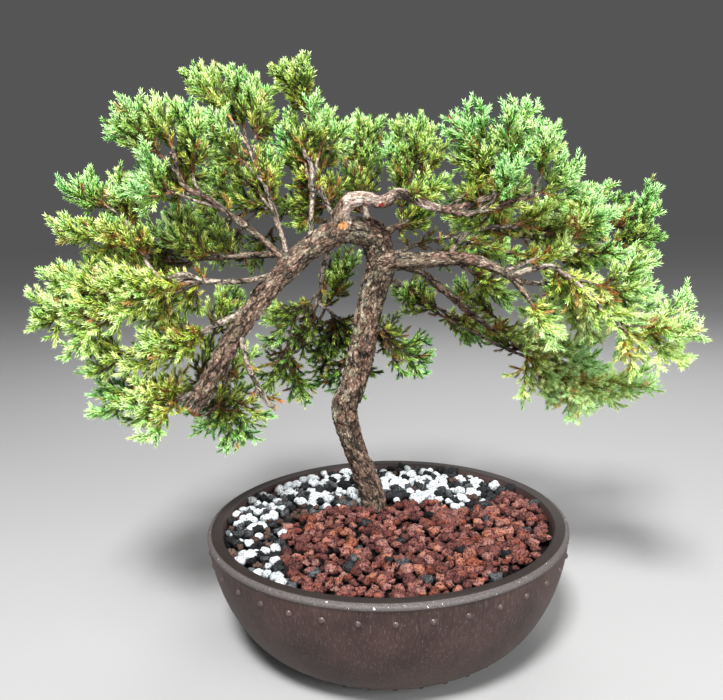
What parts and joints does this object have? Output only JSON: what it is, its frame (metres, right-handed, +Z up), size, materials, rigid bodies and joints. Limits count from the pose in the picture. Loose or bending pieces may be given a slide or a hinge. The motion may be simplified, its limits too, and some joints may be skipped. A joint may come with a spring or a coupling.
{
  "type": "procumbens nana juniper bonsai",
  "caption": "Slant-trunked juniper bonsai with a wide spreading crown of needle sprays, in a round drum pot topped with white, black and red granules.",
  "frame": {"origin": "centre of the pot's base, on the surface it stands on", "axes": "+X to the right seen from the tree's front, +Y away from the viewer, +Z up"},
  "size_m": [0.4252, 0.254, 0.4043],
  "materials": {
    "pot": "matte, finely scratched",
    "soil": "rough white and black granules",
    "red_stones": "rough, porous",
    "bark": "rough, flaking",
    "foliage": "satin"
  },
  "bodies": {
    "root": {"pot": "pot", "red_stones": "red_stones", "soil": "soil", "spray_back_crown_1": "foliage", "spray_back_fork_1": "foliage", "spray_back_hang_1": "foliage", "spray_back_hang_2": "foliage", "spray_back_left_1": "foliage", "spray_back_left_2": "foliage", "spray_back_low_1": "foliage", "spray_back_right_1": "foliage", "spray_hang_left_1": "foliage", "spray_hang_left_2": "foliage", "spray_low_left_1": "foliage", "spray_low_left_2": "foliage", "spray_low_right_twig_1": "foliage", "spray_pale_left_1": "foliage", "spray_pale_left_2": "foliage", "spray_pale_left_3": "foliage", "spray_pale_up_1": "foliage", "spray_pale_up_2": "foliage", "spray_pale_up_3": "foliage", "spray_reach_left_1": "foliage", "spray_reach_left_2": "foliage", "spray_reach_left_3": "foliage", "spray_right_drop_1": "foliage", "spray_right_high_1": "foliage", "spray_right_high_2": "foliage", "spray_right_high_3": "foliage", "spray_right_low_1": "foliage", "spray_right_low_2": "foliage", "spray_right_low_3": "foliage", "spray_right_main_1": "foliage", "spray_right_mid_1": "foliage", "spray_right_mid_2": "foliage", "spray_right_under_1": "foliage", "spray_right_under_2": "foliage", "spray_right_under_3": "foliage", "spray_right_under_4": "foliage", "spray_rise_crown_1": "foliage", "spray_rise_crown_2": "foliage", "spray_rise_crown_3": "foliage", "spray_rise_crown_4": "foliage", "spray_rise_left_1": "foliage", "spray_rise_left_2": "foliage", "spray_rise_left_3": "foliage", "spray_rise_left_4": "foliage", "spray_rise_near_1": "foliage", "spray_rise_near_2": "foliage", "spray_rise_top_1": "foliage", "spray_rise_top_2": "foliage", "spray_top_back_1": "foliage", "spray_top_back_2": "foliage", "spray_top_branch_1": "foliage", "spray_top_branch_2": "foliage", "spray_top_fork_1": "foliage", "spray_top_fork_2": "foliage", "spray_top_fork_3": "foliage", "spray_under_left_1": "foliage", "trunk_and_branches": "bark"}
  },
  "joints": []
}
